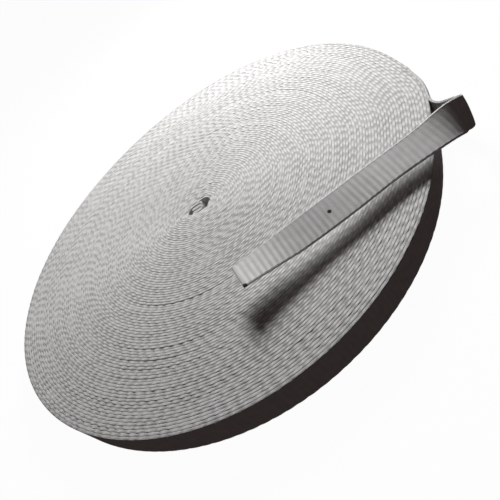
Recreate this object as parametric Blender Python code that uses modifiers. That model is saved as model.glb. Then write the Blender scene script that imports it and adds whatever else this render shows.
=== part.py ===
"""A flat-wound roll of narrow white polyester webbing, with its outer end pulled off and laid back over the face.

The roll lies on its flat side with the winding axis upright. The webbing is wound clockwise as seen from above,
from a slot-shaped eye outwards. Units are metres and +Z is up.
"""

import math

import bmesh
import bpy
from mathutils import Vector

# Driving dimensions
ROLL_RADIUS = 0.100
TAPE_WIDTH = 0.012
TAPE_THICKNESS = 0.00118

# The eye in the middle: a slot nearly along X, wider at its +X end
EYE_HALF_LENGTH = 0.0061
EYE_LEAN = 0.12
EYE_HALF_WIDTH = 0.0040
EYE_FLARE = 0.20
EYE_TURNED = math.radians(-14.0)

# The outline is a little uneven: waves round the rim, as shares of the radius for the cosine and the sine
RIM_WAVES = (
    # waves round the rim, cosine share, sine share
    (2, 0.0120, 0.0070),
    (3, -0.0044, 0.0127),
)
# The last turns stand off a little under the loose end
BULGE_ANGLE = math.radians(-24.0)
BULGE_SPREAD = math.radians(9.0)
BULGE_SHARE = 0.017

# Where the outermost turn ends and the loose end starts, as an angle from +X
STEP_ANGLE = math.radians(-16.0)
STEP_STARTS_AT = 0.985
STEP_FADES_AT = 0.955

# The wound form, as rings from the eye outwards: the turns stand a little unevenly
SELVEDGE_ROUND = 0.0004
FACE_RINGS = (
    # share of the way out, depth of the face below the tape's full width
    (0.00, 0.00060),
    (0.02, 0.00010),
    (0.12, 0.00000),
    (0.24, 0.00015),
    (0.35, 0.00005),
    (0.47, 0.00020),
    (0.485, 0.00045),
    (0.50, 0.00015),
    (0.61, 0.00005),
    (0.66, 0.00025),
    (0.675, 0.00050),
    (0.69, 0.00020),
    (0.80, 0.00000),
    (0.90, 0.00015),
    (0.955, 0.00005),
)
UNDERSIDE_RINGS = (STEP_STARTS_AT, STEP_FADES_AT, 0.5, 0.02)
RIM_STEPS = 180
MERGE_DISTANCE = 1e-6
SHARP_ANGLE = math.radians(35.0)

# The loose end, as shares of the roll's radius from the winding axis and the surface below
LOOSE_END = (
    # x, y, height of the tape's middle, tilt of its width in degrees (90 upright, 0 flat)
    (0.959, -0.281, 0.0602, 90),
    (0.930, -0.376, 0.0602, 90),
    (0.900, -0.439, 0.0602, 90),
    (0.869, -0.488, 0.0602, 90),
    (0.860, -0.520, 0.0615, 90),
    (0.862, -0.556, 0.0690, 90),
    (0.870, -0.593, 0.0830, 91),
    (0.873, -0.628, 0.1000, 90),
    (0.864, -0.658, 0.1165, 81),
    (0.828, -0.671, 0.1355, 62),
    (0.775, -0.680, 0.1530, 33),
    (0.686, -0.681, 0.1650, 15),
    (0.548, -0.661, 0.1670, 11),
    (0.455, -0.653, 0.1710, 13),
    (0.361, -0.648, 0.1760, 15),
    (0.270, -0.640, 0.1800, 15),
    (0.175, -0.631, 0.1840, 13),
    (0.084, -0.620, 0.1890, 6),
    (0.018, -0.614, 0.1950, 1),
    (-0.058, -0.610, 0.2040, -4),
)
ROUTE_STEPS = 6
TAPE_COLUMNS = 4

WEBBING_WHITE = (0.84, 0.84, 0.83, 1.0)
LOOSE_END_WHITE = (0.80, 0.80, 0.79, 1.0)
ROUGHNESS = 0.72


def clear_scene():
    for obj in list(bpy.data.objects):
        bpy.data.objects.remove(obj, do_unlink=True)


def cloth_material(name, colour):
    material = bpy.data.materials.new(name)
    material.use_nodes = True
    shader = material.node_tree.nodes["Principled BSDF"]
    shader.inputs["Base Color"].default_value = colour
    shader.inputs["Roughness"].default_value = ROUGHNESS
    shader.inputs["Metallic"].default_value = 0.0
    return material


def rim_radius(angle):
    """The wound outline, without the step that the last turn leaves."""
    waves = sum(c * math.cos(n * angle) + s * math.sin(n * angle) for n, c, s in RIM_WAVES)
    away = math.remainder(angle - BULGE_ANGLE, 2.0 * math.pi)
    bulge = BULGE_SHARE * math.exp(-((away / BULGE_SPREAD) ** 2))
    return ROLL_RADIUS * (1.0 + waves + bulge)


def eye_radius(angle):
    """The slot in the middle, a squashed ring that flares towards +X."""
    turned = angle - EYE_TURNED
    half_width = EYE_HALF_WIDTH * (1.0 + EYE_FLARE * math.cos(turned))
    half_length = EYE_HALF_LENGTH * (1.0 - EYE_LEAN * math.cos(turned))
    across = math.hypot(math.cos(turned) / half_length, math.sin(turned) / half_width)
    return 1.0 / across


def ring_radius(share, angle, turned):
    """Radius of a turn: share 0 is the eye and 1 the rim; turned runs 0 to 1 clockwise from the step."""
    plain = (1.0 - share) * eye_radius(angle) + share * rim_radius(angle)
    step = min(1.0, max(0.0, (share - STEP_FADES_AT) / (STEP_STARTS_AT - STEP_FADES_AT)))
    return plain - TAPE_THICKNESS * (1.0 - turned) * step


def wound_profile():
    """Share and height pairs round the section of the roll: face, rim, underside and the wall of the eye."""
    top = [(share, TAPE_WIDTH - depth) for share, depth in FACE_RINGS]
    inset = 1.0 - SELVEDGE_ROUND / ROLL_RADIUS
    top += [(STEP_STARTS_AT, TAPE_WIDTH), (inset, TAPE_WIDTH)]
    rim = [(1.0, TAPE_WIDTH - SELVEDGE_ROUND), (1.0, SELVEDGE_ROUND)]
    underside = [(share, 0.0) for share in (inset, *UNDERSIDE_RINGS)]
    return top + rim + underside + [(0.0, FACE_RINGS[0][1])]


def object_from_bmesh(name, shape, material, collection):
    mesh = bpy.data.meshes.new(name)
    shape.to_mesh(mesh)
    shape.free()
    mesh.materials.append(material)
    mesh.shade_smooth()
    mesh.set_sharp_from_angle(angle=SHARP_ANGLE)
    obj = bpy.data.objects.new(name, mesh)
    collection.objects.link(obj)
    return obj


def make_roll(collection, material):
    """The wound turns as one solid, with the eye through it and a step of one thickness at the rim."""
    shape = bmesh.new()
    profile = wound_profile()
    columns = []
    for i in range(RIM_STEPS + 1):
        turned = i / RIM_STEPS
        angle = STEP_ANGLE - 2.0 * math.pi * turned
        column = []
        for share, height in profile:
            radius = ring_radius(share, angle, turned)
            column.append(shape.verts.new((radius * math.cos(angle), radius * math.sin(angle), height)))
        columns.append(column)
    for i, column in enumerate(columns):
        following = columns[(i + 1) % len(columns)]
        for j, vert in enumerate(column):
            k = (j + 1) % len(column)
            shape.faces.new((vert, column[k], following[k], following[j]))
    bmesh.ops.remove_doubles(shape, verts=shape.verts, dist=MERGE_DISTANCE)
    bmesh.ops.recalc_face_normals(shape, faces=shape.faces)
    return object_from_bmesh("roll", shape, material, collection)


def smooth_route(rows, steps):
    """Points on one smooth curve through the rows, steps to each row."""
    first = [2.0 * a - b for a, b in zip(rows[0], rows[1])]
    last = [2.0 * a - b for a, b in zip(rows[-1], rows[-2])]
    guide = [first, *rows, last]
    route = []
    for i in range(len(rows) - 1):
        before, start, end, after = guide[i : i + 4]
        for step in range(steps):
            t = step / steps
            route.append(
                [
                    0.5 * (2 * p + (q - o) * t + (2 * o - 5 * p + 4 * q - r) * t**2 + (3 * p - o - 3 * q + r) * t**3)
                    for o, p, q, r in zip(before, start, end, after)
                ]
            )
    route.append(list(rows[-1]))
    return route


def tape_frames(route):
    """Middle point and width direction at each point of the route, in metres."""
    points = [Vector(row[:3]) * ROLL_RADIUS for row in route]
    frames = []
    for i, point in enumerate(points):
        along = (points[min(i + 1, len(points) - 1)] - points[max(i - 1, 0)]).normalized()
        inward = Vector((along.y, -along.x, 0.0)).normalized()
        upward = inward.cross(along)
        tilt = math.radians(route[i][3])
        frames.append((point, math.cos(tilt) * inward + math.sin(tilt) * upward))
    return frames


def make_loose_end(collection, material):
    """The outer end of the webbing: a flat tape that leaves the rim, turns over and lies back above the face."""
    shape = bmesh.new()
    rows = []
    for point, width in tape_frames(smooth_route(LOOSE_END, ROUTE_STEPS)):
        shares = [column / TAPE_COLUMNS - 0.5 for column in range(TAPE_COLUMNS + 1)]
        rows.append([shape.verts.new(point + width * TAPE_WIDTH * share) for share in shares])
    for row, following in zip(rows, rows[1:]):
        for j in range(TAPE_COLUMNS):
            shape.faces.new((row[j], row[j + 1], following[j + 1], following[j]))
    obj = object_from_bmesh("loose_end", shape, material, collection)
    thickness = obj.modifiers.new("thickness", "SOLIDIFY")
    thickness.thickness = TAPE_THICKNESS
    thickness.offset = 0.0
    thickness.use_even_offset = True
    return obj


def move_origin_to_underside(objects):
    """Puts the origin under the middle of the whole thing, on the surface that it lies on."""
    bpy.context.view_layer.update()
    corners = []
    for obj in objects:
        mesh = obj.evaluated_get(bpy.context.evaluated_depsgraph_get()).to_mesh()
        corners += [vert.co.copy() for vert in mesh.vertices]
    middle_x = 0.5 * (min(c.x for c in corners) + max(c.x for c in corners))
    middle_y = 0.5 * (min(c.y for c in corners) + max(c.y for c in corners))
    for obj in objects:
        for vert in obj.data.vertices:
            vert.co -= Vector((middle_x, middle_y, 0.0))
    print("winding axis at", round(-middle_x, 5), round(-middle_y, 5))


def main():
    clear_scene()
    collection = bpy.data.collections.new("webbing_roll")
    bpy.context.scene.collection.children.link(collection)
    roll = make_roll(collection, cloth_material("wound_webbing", WEBBING_WHITE))
    loose_end = make_loose_end(collection, cloth_material("loose_webbing", LOOSE_END_WHITE))
    move_origin_to_underside([roll, loose_end])


main()
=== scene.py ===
import math

import bpy
import numpy as np
from mathutils import Matrix, Vector


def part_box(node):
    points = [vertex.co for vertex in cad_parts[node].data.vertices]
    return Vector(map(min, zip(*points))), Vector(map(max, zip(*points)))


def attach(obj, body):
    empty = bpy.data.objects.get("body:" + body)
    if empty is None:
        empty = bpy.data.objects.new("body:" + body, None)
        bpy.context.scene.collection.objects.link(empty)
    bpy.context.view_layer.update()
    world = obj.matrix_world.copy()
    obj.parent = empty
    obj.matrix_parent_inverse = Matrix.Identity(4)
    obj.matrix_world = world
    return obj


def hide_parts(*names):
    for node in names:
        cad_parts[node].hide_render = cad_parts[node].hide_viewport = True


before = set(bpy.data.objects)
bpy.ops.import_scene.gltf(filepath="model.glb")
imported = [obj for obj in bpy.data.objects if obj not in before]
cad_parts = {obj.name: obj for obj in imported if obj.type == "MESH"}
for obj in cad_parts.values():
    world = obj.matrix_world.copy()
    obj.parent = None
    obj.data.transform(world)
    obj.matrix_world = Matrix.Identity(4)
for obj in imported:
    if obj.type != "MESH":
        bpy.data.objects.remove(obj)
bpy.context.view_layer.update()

# The tape and the roll, in metres
ROLL_RADIUS = 0.100
TAPE_WIDTH = 0.012
TURNS = 84
# A rib of the broad face, and a loop of weft at the selvedge, which comes back every second pick
PICK_PITCH = 0.00214
LOOP_PITCH = 2.0 * PICK_PITCH

# The eye in the middle: a slot nearly along X, wider at its +X end
EYE_HALF_LENGTH = 0.0061
EYE_LEAN = 0.12
EYE_HALF_WIDTH = 0.0040
EYE_FLARE = 0.20
EYE_TURNED = math.radians(-14.0)

# The outline: waves round the rim and a bulge under the loose end
RIM_WAVES = (
    # waves round the rim, cosine share, sine share
    (2, 0.0120, 0.0070),
    (3, -0.0044, 0.0127),
)
BULGE_ANGLE = math.radians(-24.0)
BULGE_SPREAD = math.radians(9.0)
BULGE_SHARE = 0.017
# How many places the outline is measured at
RIM_PLACES = 721

# Where the outermost turn ends and the loose end starts, as an angle from +X
STEP_ANGLE = math.radians(-16.0)

# The turns stand a little unevenly
FACE_DIPS = (
    # share of the way out, depth below the tape's full width
    (0.000, 0.00035),
    (0.020, 0.00010),
    (0.120, 0.00000),
    (0.240, 0.00015),
    (0.350, 0.00005),
    (0.470, 0.00012),
    (0.485, 0.00022),
    (0.500, 0.00010),
    (0.610, 0.00005),
    (0.660, 0.00014),
    (0.675, 0.00024),
    (0.690, 0.00012),
    (0.800, 0.00000),
    (0.900, 0.00010),
    (0.955, 0.00005),
    (1.000, 0.00000),
)
# Stretches of a turn that stand lower than their neighbours, and so read as a dark line
LOW_STRETCHES = (
    # share of the way out, polar angle of the middle and half-length in degrees, depth
    (0.478, -126, 26, 0.00012),
    (0.716, -134, 22, 0.00011),
    (0.750, -130, 24, 0.00009),
    (0.786, -128, 20, 0.00010),
    (0.690, -150, 14, 0.00009),
)
# Half the width of such a stretch, in turns
LOW_STRETCH_REACH = 0.55

# The loose end, as shares of the roll's radius from the winding axis and the surface below
LOOSE_END = (
    # x, y, height of the tape's middle, tilt of its width in degrees (90 upright, 0 flat), bow of its width
    (0.959, -0.281, 0.0602, 90, 0.0000),
    (0.930, -0.376, 0.0602, 90, 0.0000),
    (0.900, -0.439, 0.0602, 90, 0.0000),
    (0.869, -0.488, 0.0602, 90, 0.0000),
    (0.860, -0.520, 0.0615, 90, 0.0000),
    (0.862, -0.556, 0.0690, 90, 0.0000),
    (0.870, -0.593, 0.0830, 91, 0.0002),
    (0.873, -0.628, 0.1000, 90, 0.0006),
    (0.864, -0.658, 0.1165, 81, 0.0009),
    (0.828, -0.671, 0.1355, 62, 0.0006),
    (0.775, -0.680, 0.1530, 33, 0.0003),
    (0.686, -0.681, 0.1650, 15, 0.0000),
    (0.548, -0.661, 0.1670, 11, 0.0000),
    (0.455, -0.653, 0.1710, 13, 0.0000),
    (0.361, -0.648, 0.1760, 15, 0.0000),
    (0.270, -0.640, 0.1800, 15, 0.0000),
    (0.175, -0.631, 0.1840, 13, 0.0000),
    (0.084, -0.620, 0.1890, 6, 0.0000),
    (0.018, -0.614, 0.1950, 1, 0.0000),
    (-0.058, -0.610, 0.2040, -4, 0.0000),
)

# The inner end of the tape, folded to and fro in the left of the eye and pushed a little below the face
# Each layer's drop, the pitch of the layers, their ends along the slot, and how far they lie to one side
FOLD_DROPS = (0.0003, 0.0006, 0.0004, 0.0006, 0.0003)
FOLD_LAYERS = len(FOLD_DROPS)
FOLD_PITCH = 0.00122
FOLD_REACH = (-0.0031, 0.0004)
FOLD_ASIDE = 0.0003
# Places on a straight layer and on a bend, and the even steps between the points that are made from them
LAYER_PLACES = 12
BEND_PLACES = 9
FOLD_STEP = 0.00015

# The section of the tape: how far a selvedge's points lie across the thickness and below its crest
SELVEDGE = (
    # through the thickness (-1 inside, 1 outside), drop below the crest, share of a pick's notch, painted
    # shade
    (-1.00, 0.00018, 0.6, 1.0),
    (-0.82, 0.00004, 1.0, 0.70),
    (0.00, 0.00000, 1.0, 0.0),
    (0.82, 0.00004, 1.0, 0.70),
    (1.00, 0.00018, 0.6, 1.0),
)
# The loose end's selvedges, rounder
ROUND_SELVEDGE = (
    (-1.00, 0.00040, 1.0, 0.0),
    (-0.55, 0.00012, 1.0, 0.0),
    (0.10, 0.00000, 1.0, 0.0),
    (0.60, 0.00014, 1.0, 0.0),
    (1.00, 0.00060, 1.0, 0.0),
)
# The selvedge that the roll lies on
PLAIN_SELVEDGE = (
    (-1.00, 0.00030, 1.0, 0.0),
    (0.00, 0.00000, 1.0, 0.0),
    (1.00, 0.00030, 1.0, 0.0),
)
# A loop of weft along the selvedge, and the gap before the next
LOOP = (
    # place in the loop, share of the gap's depth, painted shade
    (0.00, 1.00, 1.0),
    (0.12, 0.80, 1.0),
    (0.27, 0.25, 0.80),
    (0.50, 0.00, 0.0),
    (0.73, 0.25, 0.80),
    (0.88, 0.80, 1.0),
)
LOOP_STEPS = len(LOOP)
# How deep an even gap is
GAP_DEPTH = 0.00018
# How far the loops of neighbouring turns drift, in loops, and how slowly along the tape
LOOP_DRIFT = 0.16
DRIFT_LENGTH = 0.080
# How uneven the gaps are: the least and the most of a gap's depth, and the most painted shade that a deep
# one gets
GAP_LEAST = 0.6
GAP_MOST = 1.4
GAP_SHADE_MOST = 1.1
# How far the upper selvedges drift in height, and how slowly along the tape
HEIGHT_DRIFT = 0.00004
HEIGHT_DRIFT_LENGTH = 0.030
# How much of the room for a turn its tape fills
FILL = 0.985

# Edges sharper than this are not smoothed over
SHARP_ANGLE = math.radians(35.0)
# The wound tape is made in lengths, and a turn of it on its own at the rim
LENGTHS = 4
# How many places to a turn the spiral is measured at
PLACES_PER_TURN = 360

# The broad face: grooves between the picks, as a depth, a share of the pick and a fade across the width, and
# the shade painted into them
RIB_DEPTH = 0.00017
RIB_GROOVE = 0.30
RIB_FADE = 0.60
RIB_PAINTED_SHADE = 0.28
# The columns of points on a broad face: how far they keep from the edges, and how many there are
FACE_INSET = 0.0007
RIM_COLUMNS = 16
LOOSE_COLUMNS = 32

# The loose end: its thickness, rows of points to a pick, and steps between two rows of its table
LOOSE_THICKNESS = 0.00092
LOOSE_PICK_STEPS = 10
ROUTE_STEPS = 40
# Its edges between the picks: how deep the notch is, and how much shade is painted into it
EDGE_NOTCH = 0.00006
EDGE_PAINTED_SHADE = 0.3
# How far its ribs vary, as a share, how slowly along the tape, and the least and the most
RIB_DRIFT = 0.25
RIB_DRIFT_LENGTH = 0.008
RIB_LEAST = 0.5
RIB_MOST = 1.4
# The loose end lies against the roll as far as the first place along it, and is clear of it from the second
JOIN_HOLDS_TO = 0.020
JOIN_ENDS_AT = 0.030

# Surfaces: white polyester, its mottling and the fine grain of the yarns
ROUGHNESS = 0.7
SPECULAR_LEVEL = 0.25
MOTTLING_SCALE = 350.0
MOTTLING_FROM = 0.30
MOTTLING_TO = 0.70
YARN_SCALE = 2200.0
BUMP_STRENGTH = 0.3
# The colour that the painted shade in the hollows between the yarns mixes towards
CAVITY_SHADE_COLOUR = (0.22, 0.21, 0.20, 1.0)
# Lighter and darker colour, how much painted shade the hollows get, and the height of the grain
WOUND_SURFACE = ((0.93, 0.93, 0.92, 1.0), (0.87, 0.87, 0.865, 1.0), 0.50, 0.0002)
BROAD_SURFACE = ((0.80, 0.80, 0.795, 1.0), (0.70, 0.70, 0.695, 1.0), 0.55, 0.0003)
# The warp yarns on the broad face: pitch, height beside the grain, and how they wander
WARP_PITCH = 0.0005
WARP_STRENGTH = 0.35
WARP_WANDER = 1.5
WARP_WANDER_SCALE = 300.0
# The edge of a stain: how far out it starts to fade, how ragged it is and how sharp
STAIN_REACH = 1.2
STAIN_RAGGED = 0.6
STAIN_RAGGED_SCALE = 1500.0
STAIN_SHARPNESS = 3.0
# The stains on the loose end: a dot on its face, and a mark at a corner of the cut end
STAINS = (
    # across from the middle line, back from the cut end, through, radius, colour
    (0.0000, 0.0366, 0.0005, 0.0007, (0.01, 0.01, 0.01, 1.0)),
    (-0.0058, 0.0003, 0.0001, 0.0012, (0.03, 0.025, 0.03, 1.0)),
)

# The darker line where the yarns end
CUT_EDGE_REACH = 0.0007
CUT_EDGE_GREY = (0.14, 0.135, 0.13, 1.0)

# The camera, from the roll's face, in shares of the roll's radius
CAMERA_PLACE = (0.033, -1.8029, 1.1377)
CAMERA_ELEVATION = math.radians(40.0)
CAMERA_ROLL = math.radians(-42.1)
FOCAL_PIXELS = 491.0
PICTURE_PIXELS = 500.0
SENSOR_WIDTH = 36.0
CLIP_NEAR = 0.005
CLIP_FAR = 50.0

# The lights, all aimed at the roll
LIGHTS = (
    # name, azimuth (0 is +Y, 90 is +X), elevation, distance, width and height, power
    ("key", 38.0, 37.0, 0.34, (0.14, 0.10), 1.66),
)

# The faint warm light from all round
AMBIENT_COLOUR = (1.0, 0.80, 0.76, 1.0)
AMBIENT_STRENGTH = 0.036

# The room: how far its walls and ceiling stand off, and its floor, a hair below what lies on it
ROOM_REACH = 6.0
FLOOR_LEVEL = -0.0002
# The room looks pale by itself, and takes little of the light
ROOM_COLOUR = (0.03, 0.03, 0.03, 1.0)
ROOM_GLOW = 0.97
ROOM_ROUGHNESS = 0.9

# Starts the random draws, for the wound turns and, one higher, for the loose end
SEED = 11


def rim_radius(angle):
    """The wound outline, without the step that the last turn leaves."""
    waves = sum(c * np.cos(n * angle) + s * np.sin(n * angle) for n, c, s in RIM_WAVES)
    away = np.remainder(angle - BULGE_ANGLE + math.pi, 2.0 * math.pi) - math.pi
    return ROLL_RADIUS * (1.0 + waves + BULGE_SHARE * np.exp(-((away / BULGE_SPREAD) ** 2)))


def eye_radius(angle):
    """The slot in the middle, a squashed ring that flares towards +X."""
    turned = angle - EYE_TURNED
    half_width = EYE_HALF_WIDTH * (1.0 + EYE_FLARE * np.cos(turned))
    half_length = EYE_HALF_LENGTH * (1.0 - EYE_LEAN * np.cos(turned))
    return 1.0 / np.hypot(np.cos(turned) / half_length, np.sin(turned) / half_width)


def find_winding_axis():
    """Where the axis stands in the frame, whose origin is under the middle of the roll's box."""
    angle = np.linspace(0.0, 2.0 * math.pi, RIM_PLACES)
    rim = rim_radius(angle)
    middle_x = 0.5 * (np.max(rim * np.cos(angle)) + np.min(rim * np.cos(angle)))
    middle_y = 0.5 * (np.max(rim * np.sin(angle)) + np.min(rim * np.sin(angle)))
    low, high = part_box("roll")
    return np.array([0.5 * (low[0] + high[0]) - middle_x, 0.5 * (low[1] + high[1]) - middle_y, 0.0])


AXIS = find_winding_axis()


def mesh_object(name, points, faces, material, painted_shade, tape_place):
    """An object from rows of points and a list of faces, smooth but for the bevels of the selvedges.

    Each point keeps how much shade is painted on it in the hollows between yarns, and its place on the tape
    before it was bent.
    """
    mesh = bpy.data.meshes.new(name)
    mesh.from_pydata(points.tolist(), [], faces)
    mesh.attributes.new("painted_shade", "FLOAT", "POINT").data.foreach_set("value", painted_shade.ravel())
    mesh.attributes.new("tape_place", "FLOAT_VECTOR", "POINT").data.foreach_set("vector", tape_place.ravel())
    mesh.materials.append(material)
    mesh.shade_smooth()
    mesh.set_sharp_from_angle(angle=SHARP_ANGLE)
    obj = bpy.data.objects.new(name, mesh)
    bpy.context.scene.collection.objects.link(obj)
    return obj


def swept_faces(rows, around):
    """Faces of a closed tube of rows of points, with both ends capped."""
    faces = []
    for i in range(rows - 1):
        first = i * around
        for j in range(around):
            k = (j + 1) % around
            faces.append((first + j, first + around + j, first + around + k, first + k))
    faces.append(tuple(range(around)))
    last = (rows - 1) * around
    faces.append(tuple(range(last + around - 1, last - 1, -1)))
    return faces


class Section:
    """Points round the tape's section: upper selvedge, outer face down, lower selvedge, inner face up."""

    def __init__(self, upper, lower, outer_columns=0, inner_columns=0):
        half = 0.5 * TAPE_WIDTH
        rows = []
        for through, drop, notch, painted_shade in upper:
            rows.append((half - drop, through, -notch, 0.0, painted_shade))
        for column in range(outer_columns):
            rows.append((self.column_place(column, outer_columns, -1), 1.0, 0.0, 1.0, 0.0))
        for through, drop, notch, painted_shade in reversed(lower):
            rows.append((drop - half, through, notch, 0.0, painted_shade))
        for column in range(inner_columns):
            rows.append((self.column_place(column, inner_columns, 1), -1.0, 0.0, -1.0, 0.0))
        self.across, self.through, self.notch, self.face, self.painted_shade = np.array(rows).T

    @staticmethod
    def column_place(column, columns, way):
        """Place across the width of a column of points on a broad face."""
        reach = 0.5 * TAPE_WIDTH - FACE_INSET
        return way * reach * (2.0 * column / (columns - 1) - 1.0)


def swept_tape(name, section, route, material, dip=0.0, bow=0.0):
    """A closed tape along the frames of a route.

    dip lowers the upper selvedge alone, so that the lower one stays on what it rests on, and bow is how
    far the middle of the width stands out from its two edges.
    """
    rows = len(route.along)
    upper = np.logical_and(section.face == 0.0, section.across > 0.0)
    across = section.across[None, :] + section.notch[None, :] * route.notch[:, None]
    across = across - upper[None, :] * np.broadcast_to(dip, rows)[:, None]
    through = section.through[None, :] * route.half_thickness[:, None]
    through = through + section.face[None, :] * route.relief(section)
    curve = 1.0 - (2.0 * section.across / TAPE_WIDTH) ** 2
    bowed = through + curve[None, :] * np.broadcast_to(bow, rows)[:, None]
    points = (
        route.middle[:, None, :]
        + route.width[:, None, :] * across[:, :, None]
        + route.outward[:, None, :] * bowed[:, :, None]
    )
    # Painted shade: how far each point's colour is darkened in the hollows between yarns and in the grooves
    # of the ribs
    painted_shade = np.maximum(section.painted_shade[None, :], upper[None, :] * route.painted_shade[:, None])
    painted_shade = painted_shade + np.abs(section.face)[None, :] * route.rib_painted_shade(section)
    tape_place = np.stack([across, np.broadcast_to(route.along[:, None], across.shape), through], 2)
    faces = swept_faces(rows, len(section.across))
    return mesh_object(name, points.reshape(-1, 3), faces, material, painted_shade, tape_place)


def pick_gaps(along):
    """1 in the grooves between the picks, falling to almost 0 on the picks."""
    away = np.abs(np.remainder(along / PICK_PITCH + 0.5, 1.0) - 0.5)
    return np.exp(-((away / RIB_GROOVE) ** 2))


class Route:
    """Where the tape runs: a frame, half the thickness, the weave's notches and the painted shade at each
    row.
    """

    def __init__(self, along, middle, width, outward, half_thickness, notch, painted_shade):
        self.along = along
        self.middle = middle
        self.width = width
        self.outward = outward
        self.half_thickness = half_thickness
        self.notch = notch
        self.painted_shade = painted_shade
        self.rib_share = np.ones(len(along))

    def part(self, first, last):
        """The rows from first to last, both included."""
        rows = slice(first, last + 1)
        return Route(
            self.along[rows],
            self.middle[rows],
            self.width[rows],
            self.outward[rows],
            self.half_thickness[rows],
            self.notch[rows],
            self.painted_shade[rows],
        )

    def grooves(self, section):
        """How far each point lies in a groove between the ribs, less towards the upper edge."""
        side = 1.0 - RIB_FADE * (0.5 + section.across / TAPE_WIDTH)
        return (self.rib_share * pick_gaps(self.along))[:, None] * side[None, :]

    def relief(self, section):
        """The ribs that the picks make across a broad face."""
        return -RIB_DEPTH * self.grooves(section)

    def rib_painted_shade(self, section):
        """The shade painted into the grooves of a broad face, by how deep between yarns they lie."""
        return RIB_PAINTED_SHADE * self.grooves(section)


def smooth_noise(rng, length, spacing, strength):
    """A slow random wobble along the tape's length."""
    knots = int(length[-1] / spacing) + 2
    return np.interp(length, np.arange(knots) * spacing, rng.normal(0.0, strength, knots))


def loops_along(length, rng):
    """Rows at the named places of every loop, with the depth of the gap and the painted shade at each."""
    loops = int(length / LOOP_PITCH)
    places, depths, painted_shades = np.array(LOOP).T
    along = (np.arange(loops)[:, None] + places[None, :]).ravel() * length / loops
    drift = smooth_noise(rng, along, DRIFT_LENGTH, LOOP_DRIFT * LOOP_PITCH)
    ends = np.minimum(1.0, np.minimum(along, length - along) / DRIFT_LENGTH)
    uneven = rng.uniform(GAP_LEAST, GAP_MOST, loops)[:, None]
    depth = GAP_DEPTH * (uneven * depths[None, :]).ravel()
    painted_shade = (np.minimum(uneven, GAP_SHADE_MOST) * painted_shades[None, :]).ravel()
    return np.append(along + ends * drift, length), np.append(depth, depth[0]), np.append(painted_shade, painted_shade[0])


class Spiral:
    """The tape's middle line from the eye to the rim."""

    def __init__(self, rng):
        turn = np.linspace(0.0, TURNS, TURNS * PLACES_PER_TURN + 1)
        x, y, _ = self.place(turn)
        length = np.concatenate([[0.0], np.cumsum(np.hypot(np.diff(x), np.diff(y)))])
        self.along, self.notch, self.painted_shade = loops_along(length[-1], rng)
        self.turn = np.interp(self.along, length, turn)

    @staticmethod
    def place(turn):
        """X and Y of the tape's middle and half its thickness, by turns from the eye."""
        angle = STEP_ANGLE - 2.0 * math.pi * turn
        share = turn / TURNS
        pitch = (rim_radius(angle) - eye_radius(angle)) / TURNS
        radius = (1.0 - share) * eye_radius(angle) + share * rim_radius(angle) - 0.5 * pitch
        return radius * np.cos(angle), radius * np.sin(angle), 0.5 * FILL * pitch

    def route(self):
        """The upright frames of the tape, its lower selvedge on the surface."""
        x, y, half = self.place(self.turn)
        radius = np.hypot(x, y)
        flat = np.zeros(len(x))
        middle = np.stack([x, y, flat + 0.5 * TAPE_WIDTH], 1) + AXIS
        width = np.stack([flat, flat, flat + 1.0], 1)
        outward = np.stack([x / radius, y / radius, flat], 1)
        return Route(self.along, middle, width, outward, half, self.notch, self.painted_shade)

    def dips(self):
        """How far each row stands below the tape's full height."""
        share = self.turn / TURNS
        angle = STEP_ANGLE - 2.0 * math.pi * self.turn
        places, depths = zip(*FACE_DIPS)
        dip = np.interp(share, places, depths)
        for place, middle, reach, depth in LOW_STRETCHES:
            away = np.degrees(np.remainder(angle - math.radians(middle) + math.pi, 2 * math.pi) - math.pi)
            near = np.exp(-((away / reach) ** 4))
            one_turn = np.exp(-(((share - place) * TURNS / LOW_STRETCH_REACH) ** 4))
            dip = dip + depth * near * one_turn
        return dip


def make_wound_turns(material, rim_material):
    """The fine turns, in lengths that follow one another from the eye to the rim."""
    rng = np.random.default_rng(SEED)
    spiral = Spiral(rng)
    route = spiral.route()
    dip = spiral.dips() + np.abs(smooth_noise(rng, spiral.along, HEIGHT_DRIFT_LENGTH, HEIGHT_DRIFT))
    last_turn = int(np.searchsorted(spiral.turn, TURNS - 1)) // LOOP_STEPS * LOOP_STEPS
    section = Section(SELVEDGE, PLAIN_SELVEDGE)
    cuts = [last_turn * i // (LENGTHS * LOOP_STEPS) * LOOP_STEPS for i in range(LENGTHS)] + [last_turn]
    pieces = []
    for i, (first, last) in enumerate(zip(cuts, cuts[1:])):
        length = route.part(first, last)
        pieces.append(swept_tape(f"wound_turns_{i + 1}", section, length, material, dip[first : last + 1]))
    section = Section(SELVEDGE, PLAIN_SELVEDGE, outer_columns=RIM_COLUMNS)
    length = route.part(last_turn, len(dip) - 1)
    pieces.append(swept_tape("outer_turn", section, length, rim_material, dip[last_turn:]))
    for piece in pieces:
        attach(piece, "root")
        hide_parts("roll")


def smooth_rows(rows, steps):
    """Rows on one smooth curve through the given ones, steps to each."""
    rows = np.array(rows)
    guide = np.vstack([2.0 * rows[0] - rows[1], rows, 2.0 * rows[-1] - rows[-2]])
    t = (np.arange(steps) / steps)[:, None]
    found = []
    for i in range(len(rows) - 1):
        o, p, q, r = guide[i : i + 4]
        found.append(
            0.5 * (2 * p + (q - o) * t + (2 * o - 5 * p + 4 * q - r) * t**2 + (3 * p - o - 3 * q + r) * t**3)
        )
    found.append(rows[-1:])
    return np.vstack(found)


def evenly(rows, spacing):
    """Rows read again at even steps along the route."""
    length = np.concatenate([[0.0], np.cumsum(np.linalg.norm(np.diff(rows[:, :3], axis=0), axis=1))])
    count = int(round(length[-1] / spacing))
    along = np.linspace(0.0, length[-1], count + 1)
    return along, np.stack([np.interp(along, length, column) for column in rows.T], 1)


def unit(vectors):
    return vectors / np.linalg.norm(vectors, axis=1)[:, None]


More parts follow.
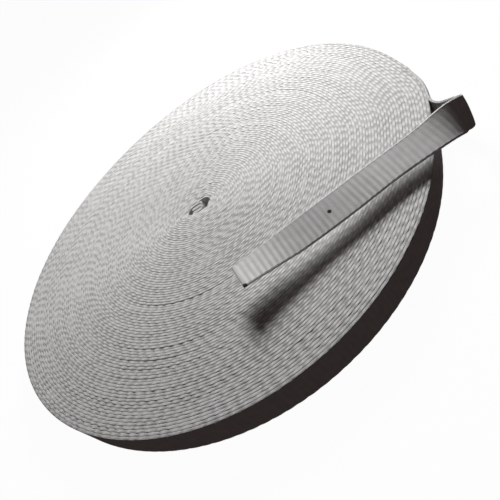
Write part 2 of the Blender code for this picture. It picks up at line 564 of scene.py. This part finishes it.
def fold_route():
    """Places along the eye's slot and across it, and the drop, for layers that turn back at both ends."""
    turn = np.linspace(-0.5 * math.pi, 0.5 * math.pi, BEND_PLACES)
    bend = 0.5 * FOLD_PITCH
    left, right = FOLD_REACH
    rows = []
    for layer, drop in enumerate(FOLD_DROPS):
        across = FOLD_ASIDE + (0.5 * (FOLD_LAYERS - 1) - layer) * FOLD_PITCH
        way = 1.0 if layer % 2 == 0 else -1.0
        start, end = (left, right) if way > 0.0 else (right, left)
        rows += [(x, across, drop) for x in np.linspace(start, end, LAYER_PLACES)]
        if layer < FOLD_LAYERS - 1:
            following = 0.5 * (drop + FOLD_DROPS[layer + 1])
            for t in turn[1:-1]:
                rows.append((end + way * bend * math.cos(t), across - bend * (1.0 + math.sin(t)), following))
    return np.array(rows)


def make_inner_fold(material):
    """The tape's inner end, in upright layers in the left of the eye."""
    slot = fold_route()
    x = np.cos(EYE_TURNED) * slot[:, 0] - np.sin(EYE_TURNED) * slot[:, 1]
    y = np.sin(EYE_TURNED) * slot[:, 0] + np.cos(EYE_TURNED) * slot[:, 1]
    rows = np.stack([x, y, np.full(len(x), 0.5 * TAPE_WIDTH), slot[:, 2]], 1)
    along, rows = evenly(rows, FOLD_STEP)
    heading = unit(np.gradient(rows[:, :3], axis=0))
    width = np.tile([0.0, 0.0, 1.0], (len(rows), 1))
    outward = np.stack([-heading[:, 1], heading[:, 0], np.zeros(len(rows))], 1)
    still = np.zeros(len(rows))
    half = np.full(len(rows), 0.5 * LOOSE_THICKNESS)
    # The fold's upper edges take the full painted shade all along, standing in for the shade down in the eye
    route = Route(along, rows[:, :3] + AXIS, width, outward, half, still, still + 1.0)
    piece = swept_tape("inner_fold", Section(SELVEDGE, PLAIN_SELVEDGE), route, material, rows[:, 3])
    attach(piece, "root")
    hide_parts("roll")


def make_loose_end():
    """The outer end of the webbing, which leaves the rim, turns over and lies back above the face."""
    rows = smooth_rows(LOOSE_END, ROUTE_STEPS)
    rows[:, :3] *= ROLL_RADIUS
    along, rows = evenly(rows, PICK_PITCH / LOOSE_PICK_STEPS)
    heading = unit(np.gradient(rows[:, :3], axis=0))
    inward = unit(np.stack([heading[:, 1], -heading[:, 0], np.zeros(len(rows))], 1))
    upward = np.cross(inward, heading)
    tilt = np.radians(rows[:, 3])[:, None]
    width = np.cos(tilt) * inward + np.sin(tilt) * upward
    outward = -np.sin(tilt) * inward + np.cos(tilt) * upward
    x, y, wound_half = Spiral.place(float(TURNS))
    start = np.array([x, y, 0.5 * TAPE_WIDTH])
    held = np.clip((JOIN_ENDS_AT - along) / (JOIN_ENDS_AT - JOIN_HOLDS_TO), 0.0, 1.0)
    held = held**2 * (3.0 - 2.0 * held)
    middle = rows[:, :3] + held[:, None] * (start - rows[0, :3]) + AXIS
    gap = pick_gaps(along)
    half = 0.5 * LOOSE_THICKNESS * (1.0 - held) + wound_half * held
    # The notches in its edges get painted shade
    route = Route(along, middle, width, outward, half, EDGE_NOTCH * gap, EDGE_PAINTED_SHADE * gap)
    rng = np.random.default_rng(SEED + 1)
    uneven = smooth_noise(rng, along, RIB_DRIFT_LENGTH, RIB_DRIFT)
    route.rib_share = np.clip(1.0 + uneven, RIB_LEAST, RIB_MOST)
    section = Section(ROUND_SELVEDGE, ROUND_SELVEDGE, LOOSE_COLUMNS, LOOSE_COLUMNS)
    material = broad_material("loose_webbing", float(along[-1]))
    piece = swept_tape("loose_tape", section, route, material, bow=rows[:, 4])
    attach(piece, "root")
    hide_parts("loose_end")


class Weave:
    """A material's nodes for white polyester: mottling, yarn bump, and shade painted into the hollows
    between the yarns.
    """

    def __init__(self, name, light, dark):
        self.material = bpy.data.materials.new(name)
        self.material.use_nodes = True
        self.nodes = self.material.node_tree.nodes
        self.links = self.material.node_tree.links
        self.shader = self.nodes["Principled BSDF"]
        self.shader.inputs["Roughness"].default_value = ROUGHNESS
        self.shader.inputs["Specular IOR Level"].default_value = SPECULAR_LEVEL
        self.object_place = self.nodes.new("ShaderNodeTexCoord").outputs["Object"]
        tint = self.nodes.new("ShaderNodeValToRGB")
        tint.color_ramp.elements[0].position = MOTTLING_FROM
        tint.color_ramp.elements[0].color = dark
        tint.color_ramp.elements[1].position = MOTTLING_TO
        tint.color_ramp.elements[1].color = light
        self.links.new(self.noise(MOTTLING_SCALE, 3.0), tint.inputs["Fac"])
        self.colour = tint.outputs["Color"]
        self.height = self.noise(YARN_SCALE, 2.0)

    def noise(self, scale, detail):
        """Cloudy noise through the object, from 0 to 1."""
        node = self.nodes.new("ShaderNodeTexNoise")
        node.inputs["Scale"].default_value = scale
        node.inputs["Detail"].default_value = detail
        self.links.new(self.object_place, node.inputs["Vector"])
        return node.outputs["Fac"]

    def attribute(self, name, output):
        """One output of an attribute that the mesh carries."""
        node = self.nodes.new("ShaderNodeAttribute")
        node.attribute_name = name
        return node.outputs[output]

    def math(self, operation, first, second=0.0, third=0.0):
        """A Math node's result, from numbers and sockets."""
        node = self.nodes.new("ShaderNodeMath")
        node.operation = operation
        for value, socket in zip((first, second, third), node.inputs):
            if isinstance(value, float):
                socket.default_value = value
            else:
                self.links.new(value, socket)
        return node.outputs[0]

    def paint_cavity_shade(self, share):
        """Paints shade onto what lies deep between the yarns."""
        self.darken(self.math("MULTIPLY", self.attribute("painted_shade", "Fac"), share), CAVITY_SHADE_COLOUR)

    def darken(self, amount, colour):
        """Mixes towards a darker colour by an amount from 0 to 1."""
        node = self.nodes.new("ShaderNodeMix")
        node.data_type = "RGBA"
        self.links.new(amount, node.inputs["Factor"])
        self.links.new(self.colour, node.inputs["A"])
        node.inputs["B"].default_value = colour
        self.colour = node.outputs["Result"]

    def stain(self, place, radius, colour):
        """A spot at a place on the tape: across from its middle line, along from the rim, and through."""
        node = self.nodes.new("ShaderNodeVectorMath")
        node.operation = "DISTANCE"
        self.links.new(self.attribute("tape_place", "Vector"), node.inputs[0])
        node.inputs[1].default_value = place
        grain = self.noise(STAIN_RAGGED_SCALE, 1.0)
        ragged = self.math("MULTIPLY_ADD", grain, STAIN_RAGGED, -0.5 * STAIN_RAGGED)
        inside = self.math("SUBTRACT", STAIN_REACH, self.math("DIVIDE", node.outputs["Value"], radius))
        amount = self.math("MULTIPLY", self.math("ADD", inside, ragged), STAIN_SHARPNESS)
        self.darken(self.math("MINIMUM", self.math("MAXIMUM", amount, 0.0), 1.0), colour)

    def cut_edge(self, length):
        """A darker line where the yarns end."""
        split = self.nodes.new("ShaderNodeSeparateXYZ")
        self.links.new(self.attribute("tape_place", "Vector"), split.inputs[0])
        back = self.math("SUBTRACT", length, split.outputs["Y"])
        near = self.math("SUBTRACT", 1.0, self.math("DIVIDE", back, CUT_EDGE_REACH))
        self.darken(self.math("MAXIMUM", near, 0.0), CUT_EDGE_GREY)

    def warp_columns(self):
        """Fine ridges along the tape, one for each warp yarn."""
        split = self.nodes.new("ShaderNodeSeparateXYZ")
        self.links.new(self.attribute("tape_place", "Vector"), split.inputs[0])
        wander = self.math("MULTIPLY", self.noise(WARP_WANDER_SCALE, 1.0), WARP_WANDER)
        phase = self.math("MULTIPLY_ADD", split.outputs["X"], 2.0 * math.pi / WARP_PITCH, wander)
        ridge = self.math("MULTIPLY", self.math("SINE", phase), WARP_STRENGTH)
        self.height = self.math("ADD", self.height, ridge)

    def finish(self, grain_height):
        """Joins the colour and the height to the shader."""
        bump = self.nodes.new("ShaderNodeBump")
        bump.inputs["Strength"].default_value = BUMP_STRENGTH
        bump.inputs["Distance"].default_value = grain_height
        self.links.new(self.colour, self.shader.inputs["Base Color"])
        self.links.new(self.height, bump.inputs["Height"])
        self.links.new(bump.outputs["Normal"], self.shader.inputs["Normal"])
        return self.material


def wound_material():
    """The selvedges of the wound turns, with shade painted between the loops of weft."""
    light, dark, shade_share, grain_height = WOUND_SURFACE
    weave = Weave("wound_webbing", light, dark)
    weave.paint_cavity_shade(shade_share)
    return weave.finish(grain_height)


def broad_material(name, length=None):
    """The broad face of the tape, with shade painted into its grooves, warp columns over the ribs, and
    stains where the length is given.
    """
    light, dark, shade_share, grain_height = BROAD_SURFACE
    weave = Weave(name, light, dark)
    weave.paint_cavity_shade(shade_share)
    weave.warp_columns()
    if length:
        weave.cut_edge(length)
        for across, back, through, radius, colour in STAINS:
            weave.stain((across, length - back, through), radius, colour)
    return weave.finish(grain_height)


def make_camera():
    """The photograph's place, angle and field of view."""
    data = bpy.data.cameras.new("camera")
    data.sensor_width = SENSOR_WIDTH
    data.lens = data.sensor_width * FOCAL_PIXELS / PICTURE_PIXELS
    data.clip_start = CLIP_NEAR
    data.clip_end = CLIP_FAR
    camera = bpy.data.objects.new("camera", data)
    view = Vector((0.0, math.cos(CAMERA_ELEVATION), -math.sin(CAMERA_ELEVATION)))
    level = Vector((1.0, 0.0, 0.0))
    upright = level.cross(view)
    right = math.cos(CAMERA_ROLL) * level + math.sin(CAMERA_ROLL) * upright
    up = -math.sin(CAMERA_ROLL) * level + math.cos(CAMERA_ROLL) * upright
    place = Vector(CAMERA_PLACE) * ROLL_RADIUS + Vector(AXIS) + Vector((0.0, 0.0, TAPE_WIDTH))
    turn = Matrix((right, up, -view)).transposed().to_4x4()
    camera.matrix_world = Matrix.Translation(place) @ turn
    bpy.context.scene.collection.objects.link(camera)
    bpy.context.scene.camera = camera


def make_area_light(name, azimuth, elevation, distance, size, power):
    """A soft rectangular light aimed at the roll. Azimuth 0 is +Y and 90 is +X."""
    data = bpy.data.lights.new(name, "AREA")
    data.shape = "RECTANGLE"
    data.size, data.size_y = size
    data.energy = power
    light = bpy.data.objects.new(name, data)
    light.visible_camera = False
    a, e = math.radians(azimuth), math.radians(elevation)
    towards = Vector((math.sin(a) * math.cos(e), math.cos(a) * math.cos(e), math.sin(e)))
    light.location = Vector(AXIS) + distance * towards
    light.rotation_euler = towards.to_track_quat("Z", "Y").to_euler()
    bpy.context.scene.collection.objects.link(light)


def room_material():
    """Pale by its own glow, so that the roll's shadow hardly shows on it."""
    material = bpy.data.materials.new("pale_room")
    material.use_nodes = True
    shader = material.node_tree.nodes["Principled BSDF"]
    shader.inputs["Base Color"].default_value = ROOM_COLOUR
    shader.inputs["Roughness"].default_value = ROOM_ROUGHNESS
    shader.inputs["Specular IOR Level"].default_value = 0.0
    shader.inputs["Emission Color"].default_value = (1.0, 1.0, 1.0, 1.0)
    shader.inputs["Emission Strength"].default_value = ROOM_GLOW
    return material


def make_studio():
    """A plain pale floor, with plain pale walls and a ceiling far away."""
    sides = ((-1, -1), (1, -1), (1, 1), (-1, 1))
    corners = [(ROOM_REACH * x, ROOM_REACH * y, z) for z in (FLOOR_LEVEL, ROOM_REACH) for x, y in sides]
    walls = [(0, 1, 2, 3), (4, 7, 6, 5), (0, 4, 5, 1), (1, 5, 6, 2), (2, 6, 7, 3), (3, 7, 4, 0)]
    mesh = bpy.data.meshes.new("studio_room")
    mesh.from_pydata(corners, [], walls)
    room = bpy.data.objects.new("studio_room", mesh)
    bpy.context.scene.collection.objects.link(room)
    mesh.materials.append(room_material())
    room.visible_diffuse = False
    room.visible_glossy = False


def make_world():
    """A faint warm light from all round, so that the shadows are not black."""
    world = bpy.data.worlds.new("studio")
    world.use_nodes = True
    background = world.node_tree.nodes["Background"]
    background.inputs["Color"].default_value = AMBIENT_COLOUR
    background.inputs["Strength"].default_value = AMBIENT_STRENGTH
    bpy.context.scene.world = world


def main():
    make_camera()
    bpy.context.scene.view_settings.view_transform = "Standard"
    make_world()
    make_studio()
    for light in LIGHTS:
        make_area_light(*light)
    wound = wound_material()
    make_wound_turns(wound, broad_material("rim_webbing"))
    make_inner_fold(wound)
    make_loose_end()


main()
